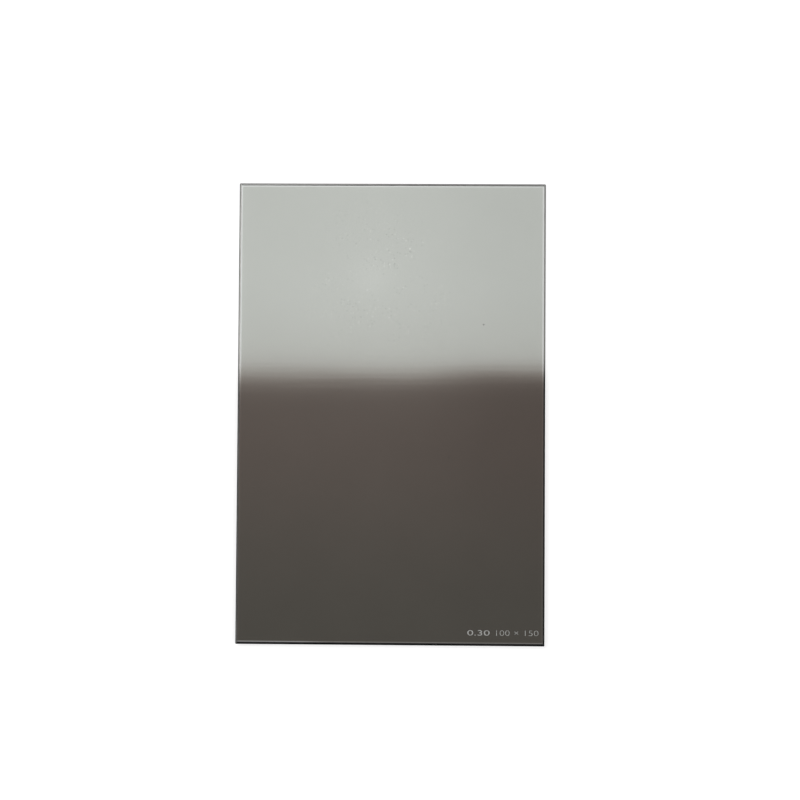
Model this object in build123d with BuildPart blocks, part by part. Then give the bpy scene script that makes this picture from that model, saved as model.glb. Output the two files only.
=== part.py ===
"""A graduated neutral density filter for a camera's slot-in filter holder.

The real filter is one rectangular plate of cast optical resin, dyed grey over its lower
part, so it is one solid here. It lies on its back face, with the front face up, the clear
end towards +Y and the dyed end towards -Y. The origin is the centre of the back face.
All sizes are in millimetres.
"""

import os

from build123d import *

# The format of the plate: the holder's slots take its two long edges.
plate_width = 100.0
plate_length = 150.0
plate_thickness = 2.0

# The ground edge: both faces are bevelled all round at 45 degrees, so that the bevels meet
# in mitres, and then the four corners are eased to a small radius.
front_bevel = 0.5
back_bevel = 0.5
corner_radius = 0.3

os.makedirs("parts", exist_ok=True)

with BuildPart() as filter_plate:
    with BuildSketch(Plane.XY):
        Rectangle(plate_width, plate_length)
    extrude(amount=plate_thickness)

    front_rim = filter_plate.faces().sort_by(Axis.Z)[-1].outer_wire().edges()
    chamfer(front_rim, length=front_bevel)

    back_rim = filter_plate.faces().sort_by(Axis.Z)[0].outer_wire().edges()
    chamfer(back_rim, length=back_bevel)

    # The eased corners stand upright through the wall and both bevels, so the bevelled
    # plate is cut to a rounded outline of the same size.
    with BuildSketch(Plane.XY):
        RectangleRounded(plate_width, plate_length, corner_radius)
    extrude(amount=plate_thickness, mode=Mode.INTERSECT)

filter_plate.part.label = "filter_plate"
export_step(filter_plate.part, "parts/filter_plate.step")
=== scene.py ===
"""The looks of a graduated neutral density filter, lying face up on a white floor.

The plate is the CAD node itself, with a material of dyed optical resin. Its two small
printed figures are thin pieces of their own. All sizes are in metres, in the frame of the
CAD model: +X to the right, +Y towards the clear end, +Z out of the front face.
"""

import math

import bmesh
import bpy
from mathutils import Euler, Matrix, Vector


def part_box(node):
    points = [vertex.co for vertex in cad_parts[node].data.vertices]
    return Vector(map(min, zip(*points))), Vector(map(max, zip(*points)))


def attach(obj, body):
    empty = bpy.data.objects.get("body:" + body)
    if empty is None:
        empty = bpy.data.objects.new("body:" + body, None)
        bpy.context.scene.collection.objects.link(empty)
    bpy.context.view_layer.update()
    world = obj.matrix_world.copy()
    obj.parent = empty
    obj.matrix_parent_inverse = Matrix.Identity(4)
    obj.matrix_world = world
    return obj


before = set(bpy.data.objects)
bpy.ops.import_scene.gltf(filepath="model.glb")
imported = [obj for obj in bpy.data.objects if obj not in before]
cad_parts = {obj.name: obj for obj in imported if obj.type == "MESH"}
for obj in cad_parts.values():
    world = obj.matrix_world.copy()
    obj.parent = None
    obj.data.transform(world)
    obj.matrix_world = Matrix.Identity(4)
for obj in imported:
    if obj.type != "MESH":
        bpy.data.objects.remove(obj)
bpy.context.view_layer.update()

MM = 0.001
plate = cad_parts["filter_plate"]
plate_low, plate_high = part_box("filter_plate")
HALF_WIDTH = plate_high.x
HALF_LENGTH = plate_high.y
FRONT = plate_high.z

# The camera stands above the plate, a little towards the lower right corner, and shows what
# lies within a range of distances.
CAMERA_PLACE = Vector((11.8, -13.6, 506.9)) * MM
CAMERA_TURN = [math.radians(angle) for angle in (2.04, 1.00, 0.37)]
CAMERA_LENS = 70.0
CAMERA_SENSOR = 36.0
CAMERA_RANGE = (0.01, 20.0)

# The floor lies just under the plate, so that the two faces don't coincide. What sees it as
# the background sees its lit colour with a glow on top. The glow is weaker near the plate,
# where the floor keeps the plate's shadow, and makes the floor white further out.
FLOOR_SIZE = 6.0
FLOOR_GAP = 0.1 * MM
FLOOR_COLOUR = (0.50, 0.50, 0.50, 1.0)
NEAR_GLOW = 0.60
FAR_GLOW = 1.00
GLOW_RADII = (0.15, 0.60)

# The light of a plain studio, at which a colour renders about as it is written: a white
# horizon under a darker ceiling, which is what the polished front mirrors from above.
STUDIO_COLOUR = (1.0, 1.0, 1.0, 1.0)
HORIZON_LEVEL = 1.00
CEILING_LEVEL = 0.36
HORIZON_TOP = 0.15
CEILING_FOOT = 0.62

# Two soft patches of light on the ceiling, one inside the other, that the front mirrors at
# one place towards the camera. Each is an angle, over which it fades, and a level.
GLARE_PLACE = Vector((-6.6, 44.0, 2.0)) * MM
GLARE_PATCHES = ((math.radians(0.46), 0.424), (math.radians(2.5), 0.432))

# Two large round lamps over the left and the right. Across a lamp's width, as 1, it fades from
# its middle to its rim, so that the polished front mirrors no sharp disk in any view.
KEY_PLACE = Vector((-0.9, 0.5, 1.1))
KEY_POWER = 30.0
FILL_PLACE = Vector((0.9, -0.5, 1.1))
FILL_POWER = 19.5
LAMP_WIDTH = 1.4
LAMP_MIDDLE = (0.5, 0.5, 0.0)
LAMP_FADE = (0.50, 0.05)

# How much red, green and blue light the resin takes on the way through, as natural
# logarithms: the pale tint of the whole plate, the dye below the line, the haze of dye that
# spreads on both sides of it, the deepening towards the lower end, and a painted shade that
# deepens towards the right side, where less light falls.
CLEAR_TAKES = (0.556, 0.528, 0.577)
DYE_TAKES = (1.286, 1.483, 1.573)
HAZE_TAKES = (0.178, 0.210, 0.222)
DEPTH_TAKES = (0.395, 0.285, 0.315)
SIDE_PAINTED_SHADE_TAKES = (0.051, 0.051, 0.051)

# Where these layers lie along the plate. Towards the right side the line climbs a little and
# gets sharper, and the dye below it deepens a little more, which is painted shade like the
# deepening there. The dip into the dye leaves faint bands along the line.
LINE_PLACE = 10.7 * MM
LINE_RISE = 1.75 * MM
LINE_CLIMB = (1 * MM, 36 * MM)
LINE_SOFTNESS = 2.08 * MM
LINE_SHARPENING = 0.0055
BAND_DEPTH = 0.80 * MM
BAND_SCALE = (25.0, 800.0, 1.0)
HAZE_REACH = (45 * MM, -18 * MM)
DEPTH_REACH = (0.0, -75 * MM)
SIDE_PAINTED_SHADE_REACH = (-5 * MM, 55 * MM)
SIDE_PAINTED_SHADE_ON_DYE = 0.115

# The tint is a little uneven over the whole plate: how many patches of it go into a metre,
# and by which share of the tint the palest and the deepest are apart.
MOTTLE_SCALE = 45.0
MOTTLE_SHARE = 0.05

# The polished faces: how strongly the resin bends light, faint smears that dull the polish
# between two levels of their noise, and waves so low that they only make the mirrored light a
# little uneven.
RESIN_IOR = 1.50
SMEAR_SCALE = 60.0
SMEAR_LEVELS = (0.50, 0.75)
FACE_ROUGHNESS = (0.02, 0.07)
WAVE_SCALE = 50.0
WAVE_HEIGHT = 0.004 * MM

# A ray crosses the plate's surface twice on its way through. The glass shader shares its
# colour between the two by itself, and the transparent one takes half of the way at each.
GLASS_WAY = 1.0
STRAIGHT_WAY = 0.5

# A painted highlight: the bright rim just inside the bevels, where the ground edge lights the
# resin, is painted as a paler tint. How far in it goes, and which share of the tint it loses
# where the plate is clear and where it is dyed, each at the left and the right, and along the
# foot, right and left of its turn. Its painted light is a little bluer than the resin.
RIM_REACH = (1.06 * MM, 0.86 * MM)
RIM_CLEAR = (0.52, 0.42)
RIM_DYED = (0.09, 0.12)
RIM_FOOT = (0.47, 0.70)
RIM_FOOT_REACH = (1.12 * MM, 0.95 * MM)
RIM_FOOT_TURN = (-18 * MM, -30 * MM)
RIM_TINT = (0.98, 0.99, 1.03)

# Painted shade in the resin between the foot's bevels and its rim, as a natural logarithm.
PAINTED_FOOT_SHADE = 3.0
PAINTED_FOOT_SHADE_REACH = (0.76 * MM, 0.66 * MM)

# Dust: how far apart its specks lie, how far each of them reaches, and how much they change
# what the resin takes, from the palest speck to the darkest. The fine dust lies in clusters
# of about this spacing, which start and are full at these levels of their noise. It is
# partly painted glints: the clusters are thickest around the place of the clear part where
# the front mirrors the glare, and thin out over a reach from it. The core is the share of a
# speck's reach that is full strength.
SPARSE_DUST = (3.0 * MM, 0.15 * MM, -0.15, 0.22)
GLINTING_FINE_DUST = (0.9 * MM, 0.30 * MM, -0.32, 0.38)
CLUSTER_SPACING = 5.0 * MM
CLUSTER_LEVELS = (0.48, 0.58)
GLINT_PLACE = Vector((-3.0 * MM, 43.0 * MM, FRONT))
GLINT_REACH = (42 * MM, 6 * MM)
SPECK_CORE = 0.4

# The three grains on the front that show best, and the painted shadow of the third, last in
# the list: where each lies, how far it reaches and how much it darkens the resin, or lightens
# it below zero. The core is the share of its reach that is full strength.
GRAINS_AND_SHADOW = (
    (Vector((29.9 * MM, 29.0 * MM, FRONT)), 0.42 * MM, 0.85),
    (Vector((18.8 * MM, -14.3 * MM, FRONT)), 0.45 * MM, 0.80),
    (Vector((5.8 * MM, 53.7 * MM, FRONT)), 0.42 * MM, -0.34),
    # The painted shadow of the grain above.
    (Vector((5.8 * MM, 52.8 * MM, FRONT)), 0.42 * MM, 0.24),
)
GRAIN_CORE = 0.3

# The ground edge, as natural logarithms of its darkness, which is painted shade deepened by
# the dye: on a bevel of clear resin, where it is all painted shade, what the dye adds, and what
# the foot's bevels add as a painted shadow, where it is deepest. An upright wall lacks a share
# of it. The inner half of a bevel has lost a share of it too, as lighter painted shade, where
# it is clear and where it is dyed, each at the left and the right, and none along the foot.
EDGE_CLEAR = 2.60
EDGE_DYED = 3.10
EDGE_FOOT_SHADOW = 4.00
EDGE_WALL = 0.32
EDGE_INNER_REACH = (0.24 * MM, 0.33 * MM)
EDGE_INNER_CLEAR = (0.82, 0.66)
EDGE_INNER_DYED = (0.70, 0.36)

# Which way a surface faces tells what it is: how far up or down where the polished face ends
# at the ground edge, how far up or down where a bevel ends at an upright wall, and how far
# along the plate where it belongs to the foot.
FACE_FACING = (0.97, 0.90)
WALL_FACING = (0.5, 0.2)
FOOT_FACING = (-0.4, -0.6)

# The grinding marks run along the edge, so their noise is fine only across it. It changes how
# dark the edge is, how deep, and how rough between two of its levels. Ground resin hardly
# mirrors, and is a little less blue than grey.
GRINDING_SCALE = (300.0, 300.0, 9000.0)
GRINDING_SHADE = 0.8
GRINDING_LEVELS = (0.3, 0.7)
GRINDING_HEIGHT = 0.02 * MM
EDGE_ROUGHNESS = (0.45, 0.70)
EDGE_GLOSS = 0.03
EDGE_BLUE = 0.96

# The two printed figures: their ends along the lower edge, how far their strokes are
# thickened, or thinned below zero, as a share of the font's size, and what they have in
# common. The last three values make the mesh: the font's depth before it is fitted to the
# ink's thickness, the parts of each curve, and the distance at which points become one.
DENSITY_ENDS = (25.1 * MM, 32.3 * MM)
DENSITY_BOLDNESS = -0.004
FORMAT_ENDS = (34.4 * MM, 48.0 * MM)
FORMAT_BOLDNESS = -0.02
PRINT_BASELINE = -71.6 * MM
PRINT_HEIGHT = 1.7 * MM
INK_THICKNESS = 0.010 * MM
INK_SINK = 0.002 * MM
FONT_DEPTH = 0.01
CURVE_PARTS = 6
MERGE_DISTANCE = 0.001 * MM

# The ink covers a little unevenly, and is paler, smoother and thicker where it covers well,
# between two levels of its noise. It is a little less blue than grey.
COVER_SCALE = 2500.0
COVER_LEVELS = (0.25, 0.75)
COVER_HEIGHT = 0.003 * MM
INK_GREYS = (0.26, 0.40)
INK_ROUGHNESS = (0.65, 0.50)
INK_BLUE = 0.97


class Graph:
    """A node tree, with short calls for the few kinds of node that this script uses."""

    def __init__(self, tree):
        self.tree = tree
        tree.nodes.clear()

    def node(self, kind, **settings):
        made = self.tree.nodes.new(kind)
        for name, value in settings.items():
            setattr(made, name, value)
        return made

    def put(self, socket, value):
        """Links value to socket if it is a socket itself, or sets it there."""
        if isinstance(value, bpy.types.NodeSocket):
            self.tree.links.new(value, socket)
        else:
            socket.default_value = value

    def math(self, operation, *values):
        made = self.node("ShaderNodeMath", operation=operation)
        for socket, value in zip(made.inputs, values):
            self.put(socket, value)
        return made.outputs["Value"]

    def vector_math(self, operation, *values, output="Vector"):
        made = self.node("ShaderNodeVectorMath", operation=operation)
        for socket, value in zip(made.inputs, values):
            self.put(socket, value)
        return made.outputs[output]

    def split(self, vector):
        """The three parts of a vector."""
        made = self.node("ShaderNodeSeparateXYZ")
        self.put(made.inputs[0], vector)
        return made.outputs

    def join(self, x, y, z):
        made = self.node("ShaderNodeCombineXYZ")
        for socket, value in zip(made.inputs, (x, y, z)):
            self.put(socket, value)
        return made.outputs[0]

    def step(self, value, low, high, to_low=0.0, to_high=1.0):
        """Goes smoothly from to_low, where value is low, to to_high, where it is high."""
        made = self.node("ShaderNodeMapRange", interpolation_type="SMOOTHSTEP")
        for name, number in (
            ("Value", value),
            ("From Min", low),
            ("From Max", high),
            ("To Min", to_low),
            ("To Max", to_high),
        ):
            self.put(made.inputs[name], number)
        return made.outputs["Result"]

    def shader(self, kind, **inputs):
        """A shader node. An input's name is written with _ for each space."""
        made = self.node(kind)
        for name, value in inputs.items():
            self.put(made.inputs[name.replace("_", " ")], value)
        return made.outputs[0]

    def mix_shaders(self, factor, first, second):
        made = self.node("ShaderNodeMixShader")
        self.put(made.inputs[0], factor)
        self.put(made.inputs[1], first)
        self.put(made.inputs[2], second)
        return made.outputs["Shader"]

    def noise(self, place, scale, detail=2.0):
        made = self.node("ShaderNodeTexNoise")
        self.put(made.inputs["Vector"], place)
        self.put(made.inputs["Scale"], scale)
        self.put(made.inputs["Detail"], detail)
        return made.outputs["Fac"]

    def bump(self, height, distance):
        made = self.node("ShaderNodeBump")
        self.put(made.inputs["Height"], height)
        self.put(made.inputs["Distance"], distance)
        return made.outputs["Normal"]

    def colour(self, red, green, blue):
        made = self.node("ShaderNodeCombineColor")
        for socket, value in zip(made.inputs, (red, green, blue)):
            self.put(socket, value)
        return made.outputs["Color"]

    def finish(self, surface):
        out = self.node("ShaderNodeOutputMaterial")
        self.put(out.inputs["Surface"], surface)


def new_material(name):
    material = bpy.data.materials.new(name)
    material.use_nodes = True
    return material, Graph(material.node_tree)


def dye_layers(graph, x, y):
    """How far each layer of the tint goes at a place: the dye, haze and depth, and the painted shade
    towards the right.
    """
    # How far the painted shade towards the right side reaches.
    side = graph.step(x, *SIDE_PAINTED_SHADE_REACH)
    depth = graph.step(y, *DEPTH_REACH)
    line_place = graph.step(x, *LINE_CLIMB, LINE_PLACE, LINE_PLACE + LINE_RISE)
    softness = graph.math("MULTIPLY_ADD", x, -LINE_SHARPENING, LINE_SOFTNESS)
    stretched = graph.vector_math("MULTIPLY", graph.join(x, y, 0.0), BAND_SCALE)
    bands = graph.noise(stretched, scale=1.0)
    uneven = graph.math("MULTIPLY_ADD", bands, 2 * BAND_DEPTH, y)
    above = graph.math("SUBTRACT", uneven, graph.math("ADD", line_place, BAND_DEPTH))
    above = graph.math("DIVIDE", above, softness)
    dye = graph.math("DIVIDE", 1.0, graph.math("ADD", graph.math("EXPONENT", above), 1.0))
    near_line = graph.math("SUBTRACT", 1.0, depth)
    # Below the line the dye deepens towards the right as painted shade.
    painted_shade_on_dye = graph.math("MULTIPLY", graph.math("MULTIPLY", side, near_line), SIDE_PAINTED_SHADE_ON_DYE)
    dye = graph.math("MULTIPLY", dye, graph.math("ADD", painted_shade_on_dye, 1.0))
    haze = graph.step(y, *HAZE_REACH)
    return dye, haze, depth, side


def from_outline(graph, x, y):
    """How far a place lies inside the plate's outline."""
    from_side = graph.math("SUBTRACT", HALF_WIDTH, graph.math("ABSOLUTE", x))
    from_end = graph.math("SUBTRACT", HALF_LENGTH, graph.math("ABSOLUTE", y))
    return graph.math("MINIMUM", from_side, from_end)


def painted_rim_highlight(graph, x, y, dye):
    """The share of the tint that the rim's painted highlight takes away, 0 away from the outline."""
    rim = graph.step(from_outline(graph, x, y), *RIM_REACH)
    foot = graph.step(graph.math("ADD", y, HALF_LENGTH), *RIM_FOOT_REACH)
    clear = graph.step(x, -HALF_WIDTH, HALF_WIDTH, *RIM_CLEAR)
    dyed = graph.step(x, -HALF_WIDTH, HALF_WIDTH, *RIM_DYED)
    on_sides = graph.math("MULTIPLY_ADD", dye, graph.math("SUBTRACT", dyed, clear), clear)
    on_foot = graph.step(x, *RIM_FOOT_TURN, *RIM_FOOT)
    return graph.math(
        "MAXIMUM", graph.math("MULTIPLY", rim, on_sides), graph.math("MULTIPLY", foot, on_foot)
    )


def specks(graph, place, spacing, widest, palest, darkest):
    """Scattered specks, each with a value of its own between the palest and the darkest."""
    cells = graph.node("ShaderNodeTexVoronoi")
    graph.put(cells.inputs["Vector"], place)
    graph.put(cells.inputs["Scale"], 1 / spacing)
    reach = widest / spacing
    speck = graph.step(cells.outputs["Distance"], reach, SPECK_CORE * reach)
    kind = graph.split(cells.outputs["Color"])[0]
    return graph.math("MULTIPLY", speck, graph.step(kind, 0.0, 1.0, palest, darkest))


def dust(graph, place):
    """Sparse dust everywhere, clusters of fine dust around one place, which are partly painted
    glints, and three grains with the painted shadow of one.
    """
    from_middle = graph.vector_math("DISTANCE", place, GLINT_PLACE, output="Value")
    clusters = graph.step(graph.noise(place, 1 / CLUSTER_SPACING), *CLUSTER_LEVELS)
    glinting_clusters = graph.math("MULTIPLY", clusters, graph.step(from_middle, *GLINT_REACH))
    sparse = specks(graph, place, *SPARSE_DUST)
    # Around the glare's mirrored place the fine dust is painted glints as well as dust.
    marks = graph.math("MULTIPLY_ADD", specks(graph, place, *GLINTING_FINE_DUST), glinting_clusters, sparse)
    # The last of these is a grain's painted shadow.
    for centre, reach, strength in GRAINS_AND_SHADOW:
        away = graph.vector_math("DISTANCE", place, centre, output="Value")
        grain = graph.step(away, reach, GRAIN_CORE * reach, 0.0, strength)
        marks = graph.math("ADD", marks, grain)
    return marks


def light_taken(graph, place):
    """How much red, green and blue the resin takes at a place, with its painted shade and painted
    highlight, and how far it is dyed.
    """
    x, y = graph.split(place)[:2]
    dye, haze, depth, side = dye_layers(graph, x, y)
    mottle = graph.math("SUBTRACT", graph.noise(place, MOTTLE_SCALE), 0.5)
    whole = graph.math("MULTIPLY_ADD", mottle, MOTTLE_SHARE, 1.0)
    # The rim's paler tint is a painted highlight.
    rim = painted_rim_highlight(graph, x, y, dye)
    # Painted shade beside the foot's bevels, added to the dust's marks below.
    shade = graph.step(graph.math("ADD", y, HALF_LENGTH), *PAINTED_FOOT_SHADE_REACH, 0.0, PAINTED_FOOT_SHADE)
    marks = graph.math("ADD", dust(graph, place), shade)
    # The last layer is the painted shade towards the right side.
    layers = (dye, haze, depth, side)
    taken = []
    for tint, clear, *depths in zip(
        RIM_TINT, CLEAR_TAKES, DYE_TAKES, HAZE_TAKES, DEPTH_TAKES, SIDE_PAINTED_SHADE_TAKES
    ):
        total = clear
        for layer, strength in zip(layers, depths):
            total = graph.math("MULTIPLY_ADD", layer, strength, total)
        share = graph.math("MULTIPLY_ADD", rim, -tint, whole)
        taken.append(graph.math("MULTIPLY_ADD", total, share, marks))
    return taken, dye


def passed_light(graph, taken, way):
    """The colour that is left after a way through the plate, where 1 is the whole of it."""
    return graph.colour(
        *(graph.math("EXPONENT", graph.math("MULTIPLY", channel, -way)) for channel in taken)
    )


def polished_face(graph, place, tint):
    """The two faces: mirror-smooth cast resin, with a few faint smears."""
    smears = graph.noise(place, SMEAR_SCALE, detail=3.0)
    return graph.shader(
        "ShaderNodeBsdfPrincipled",
        Base_Color=tint,
        Transmission_Weight=1.0,
        IOR=RESIN_IOR,
        Roughness=graph.step(smears, *SMEAR_LEVELS, *FACE_ROUGHNESS),
        Normal=graph.bump(graph.noise(place, WAVE_SCALE), WAVE_HEIGHT),
    )


def painted_bevel_shade(graph, place, dye, foot):
    """The share of its painted shade that a bevel keeps, 1 at its outer corner."""
    x, y = graph.split(place)[:2]
    inner = graph.step(from_outline(graph, x, y), *EDGE_INNER_REACH)
    clear = graph.step(x, -HALF_WIDTH, HALF_WIDTH, *EDGE_INNER_CLEAR)
    dyed = graph.step(x, -HALF_WIDTH, HALF_WIDTH, *EDGE_INNER_DYED)
    loss = graph.math("MULTIPLY_ADD", dye, graph.math("SUBTRACT", dyed, clear), clear)
    loss = graph.math("MULTIPLY", loss, graph.math("SUBTRACT", 1.0, foot))
    return graph.math("SUBTRACT", 1.0, graph.math("MULTIPLY", loss, inner))


def ground_edge(graph, place, facing, dye):
    """Bevels and walls with fine grinding marks along them, darkened by painted shade and, where
    dyed, by the dye to nearly black.
    """
    wall = graph.step(graph.math("ABSOLUTE", facing[2]), *WALL_FACING)
    foot = graph.step(facing[1], *FOOT_FACING)
    stretched = graph.vector_math("MULTIPLY", place, GRINDING_SCALE)
    marks = graph.noise(stretched, scale=1.0, detail=3.0)
    foot_bevel = graph.math("MULTIPLY", foot, graph.math("SUBTRACT", 1.0, wall))
    # Painted shade of the edge, deepened by the dye and, on the foot's bevels, by a painted shadow.
    dark = graph.math("MULTIPLY_ADD", dye, EDGE_DYED, EDGE_CLEAR)
    dark = graph.math("MULTIPLY_ADD", foot_bevel, EDGE_FOOT_SHADOW, dark)
    dark = graph.math("MULTIPLY", dark, graph.math("MULTIPLY_ADD", wall, -EDGE_WALL, 1.0))
    # Painted shade, lighter on a bevel's inner half.
    dark = graph.math("MULTIPLY", dark, painted_bevel_shade(graph, place, dye, foot))
    uneven = graph.math("SUBTRACT", marks, 0.5)
    dark = graph.math("MULTIPLY_ADD", uneven, GRINDING_SHADE, dark)
    level = graph.math("EXPONENT", graph.math("MULTIPLY", dark, -1.0))
    return graph.shader(
        "ShaderNodeBsdfPrincipled",
        Base_Color=graph.colour(level, level, graph.math("MULTIPLY", level, EDGE_BLUE)),
        Roughness=graph.step(marks, *GRINDING_LEVELS, *EDGE_ROUGHNESS),
        Specular_IOR_Level=EDGE_GLOSS,
        Normal=graph.bump(marks, GRINDING_HEIGHT),
    )


def resin_material():
    """Dyed optical resin, polished on its two faces and ground along its edge.

    Shadow and diffuse rays go straight through the tint, so that the plate lets light on to
    the floor below it.
    """
    material, graph = new_material("dyed_resin")
    source = graph.node("ShaderNodeTexCoord")
    place = source.outputs["Object"]
    facing = graph.split(source.outputs["Normal"])
    off_face = graph.step(graph.math("ABSOLUTE", facing[2]), *FACE_FACING)
    taken, dye = light_taken(graph, place)
    polished = polished_face(graph, place, passed_light(graph, taken, GLASS_WAY))
    edge = ground_edge(graph, place, facing, dye)
    seen = graph.mix_shaders(off_face, polished, edge)
    straight_tint = passed_light(graph, taken, STRAIGHT_WAY)
    unbent = graph.shader("ShaderNodeBsdfTransparent", Color=straight_tint)
    path = graph.node("ShaderNodeLightPath")
    lets_light_on = graph.math(
        "MAXIMUM", path.outputs["Is Shadow Ray"], path.outputs["Is Diffuse Ray"]
    )
    graph.finish(graph.mix_shaders(lets_light_on, seen, unbent))
    return material


def ink_material():
    """Pale grey printing ink, a little uneven in its cover."""
    material, graph = new_material("ink")
    place = graph.node("ShaderNodeTexCoord").outputs["Object"]
    cover = graph.noise(place, COVER_SCALE, detail=3.0)
    level = graph.step(cover, *COVER_LEVELS, *INK_GREYS)
    graph.finish(
        graph.shader(
            "ShaderNodeBsdfPrincipled",
            Base_Color=graph.colour(level, level, graph.math("MULTIPLY", level, INK_BLUE)),
            Roughness=graph.step(cover, *COVER_LEVELS, *INK_ROUGHNESS),
            Normal=graph.bump(cover, COVER_HEIGHT),
        )
    )
    return material


def add_print(name, figures, ends, boldness, material):
    """Figures of ink on the front face, from one end to the other on the baseline."""
    writing = bpy.data.curves.new(name, "FONT")
    writing.body = figures
    writing.extrude = FONT_DEPTH
    writing.offset = boldness
    writing.resolution_u = CURVE_PARTS
    shaper = bpy.data.objects.new(name + "_shaper", writing)
    mesh = bpy.data.meshes.new_from_object(shaper)
    bpy.data.objects.remove(shaper)
    bpy.data.curves.remove(writing)

    points = [vertex.co for vertex in mesh.vertices]
    low = Vector(min(point[axis] for point in points) for axis in range(3))
    high = Vector(max(point[axis] for point in points) for axis in range(3))
    new_low = Vector((ends[0], PRINT_BASELINE, FRONT - INK_SINK))
    new_high = Vector((ends[1], PRINT_BASELINE + PRINT_HEIGHT, FRONT + INK_THICKNESS))
    for point in points:
        for axis in range(3):
            part = (point[axis] - low[axis]) / (high[axis] - low[axis])
            point[axis] = new_low[axis] + part * (new_high[axis] - new_low[axis])

    joined = bmesh.new()
    joined.from_mesh(mesh)
    bmesh.ops.remove_doubles(joined, verts=joined.verts, dist=MERGE_DISTANCE)
    bmesh.ops.recalc_face_normals(joined, faces=joined.faces)
    joined.to_mesh(mesh)
    joined.free()

    mesh.materials.append(material)
    print_piece = bpy.data.objects.new(name, mesh)
    bpy.context.scene.collection.objects.link(print_piece)
    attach(print_piece, "root")


def background_rays(graph):
    """1 for the rays that see the background itself: the camera's, mirrored or bent."""
    path = graph.node("ShaderNodeLightPath")
    seen = graph.math(
        "MAXIMUM", path.outputs["Is Camera Ray"], path.outputs["Is Glossy Ray"]
    )
    return graph.math("MAXIMUM", seen, path.outputs["Is Transmission Ray"])


def floor_material():
    """A floor that is lit and shadowed, with a glow that only background rays see."""
    material, graph = new_material("white_floor")
    lit = graph.shader("ShaderNodeBsdfDiffuse", Color=FLOOR_COLOUR)
    place = graph.node("ShaderNodeTexCoord").outputs["Object"]
    far = graph.vector_math("LENGTH", place, output="Value")
    level = graph.step(far, *GLOW_RADII, NEAR_GLOW, FAR_GLOW)
    glow = graph.shader(
        "ShaderNodeEmission",
        Strength=graph.math("MULTIPLY", background_rays(graph), level),
    )
    both = graph.node("ShaderNodeAddShader")
    graph.put(both.inputs[0], lit)
    graph.put(both.inputs[1], glow)
    graph.finish(both.outputs["Shader"])
    return material


def build_floor():
    """One square face just under the plate."""
    half = FLOOR_SIZE / 2
    level = plate_low.z - FLOOR_GAP
    corners = [(x, y, level) for x, y in ((-half, -half), (half, -half), (half, half), (-half, half))]
    mesh = bpy.data.meshes.new("floor")
    mesh.from_pydata(corners, [], [(0, 1, 2, 3)])
    floor = bpy.data.objects.new("floor", mesh)
    bpy.context.scene.collection.objects.link(floor)
    mesh.materials.append(floor_material())


def glare_patch(graph, direction, width, level):
    """A round patch of light in a direction, which fades out over an angle."""
    towards = graph.node("ShaderNodeTexCoord").outputs["Generated"]
    facing = graph.vector_math("DOT_PRODUCT", towards, direction, output="Value")
    apart = graph.math("DIVIDE", graph.math("SUBTRACT", facing, 1.0), width**2)
    return graph.math("MULTIPLY", graph.math("EXPONENT", apart), level)


def build_world():
    """The studio around the plate: a horizon, a ceiling and the glare that the front mirrors."""
    world = bpy.data.worlds.new("studio")
    world.use_nodes = True
    bpy.context.scene.world = world
    graph = Graph(world.node_tree)
    height = graph.split(graph.node("ShaderNodeTexCoord").outputs["Generated"])[2]
    dome = graph.step(height, HORIZON_TOP, CEILING_FOOT, HORIZON_LEVEL, CEILING_LEVEL)
    sight = (GLARE_PLACE - CAMERA_PLACE).normalized()
    mirrored = Vector((sight.x, sight.y, -sight.z))
    for width, level in GLARE_PATCHES:
        dome = graph.math("ADD", dome, glare_patch(graph, mirrored, width, level))
    background = graph.shader("ShaderNodeBackground", Color=STUDIO_COLOUR, Strength=dome)
    out = graph.node("ShaderNodeOutputWorld")
    graph.put(out.inputs["Surface"], background)


def add_lamp(name, place, power):
    """A round lamp that faces the plate, bright in its middle and fading out to its rim."""
    data = bpy.data.lights.new(name, "AREA")
    data.shape = "DISK"
    data.size = LAMP_WIDTH
    data.energy = power
    data.use_nodes = True
    graph = Graph(data.node_tree)
    across = graph.node("ShaderNodeNewGeometry").outputs["Parametric"]
    from_middle = graph.vector_math("DISTANCE", across, LAMP_MIDDLE, output="Value")
    level = graph.step(from_middle, *LAMP_FADE)
    out = graph.node("ShaderNodeOutputLight")
    graph.put(out.inputs["Surface"], graph.shader("ShaderNodeEmission", Strength=level))
    lamp = bpy.data.objects.new(name, data)
    lamp.location = place
    lamp.rotation_euler = (-place).to_track_quat("-Z", "Y").to_euler()
    bpy.context.scene.collection.objects.link(lamp)


def build_lamps():
    add_lamp("key_lamp", KEY_PLACE, KEY_POWER)
    add_lamp("fill_lamp", FILL_PLACE, FILL_POWER)


def build_camera():
    data = bpy.data.cameras.new("camera")
    data.lens = CAMERA_LENS
    data.sensor_width = CAMERA_SENSOR
    data.clip_start, data.clip_end = CAMERA_RANGE
    camera = bpy.data.objects.new("camera", data)
    camera.location = CAMERA_PLACE
    camera.rotation_euler = Euler(CAMERA_TURN, "XYZ")
    bpy.context.scene.collection.objects.link(camera)
    bpy.context.scene.camera = camera


build_camera()
build_world()
build_lamps()
build_floor()
plate.material_slots[0].material = resin_material()
ink = ink_material()
add_print("density_mark", "0.30", DENSITY_ENDS, DENSITY_BOLDNESS, ink)
add_print("format_mark", "100 × 150", FORMAT_ENDS, FORMAT_BOLDNESS, ink)

bpy.context.scene.view_settings.view_transform = "Standard"
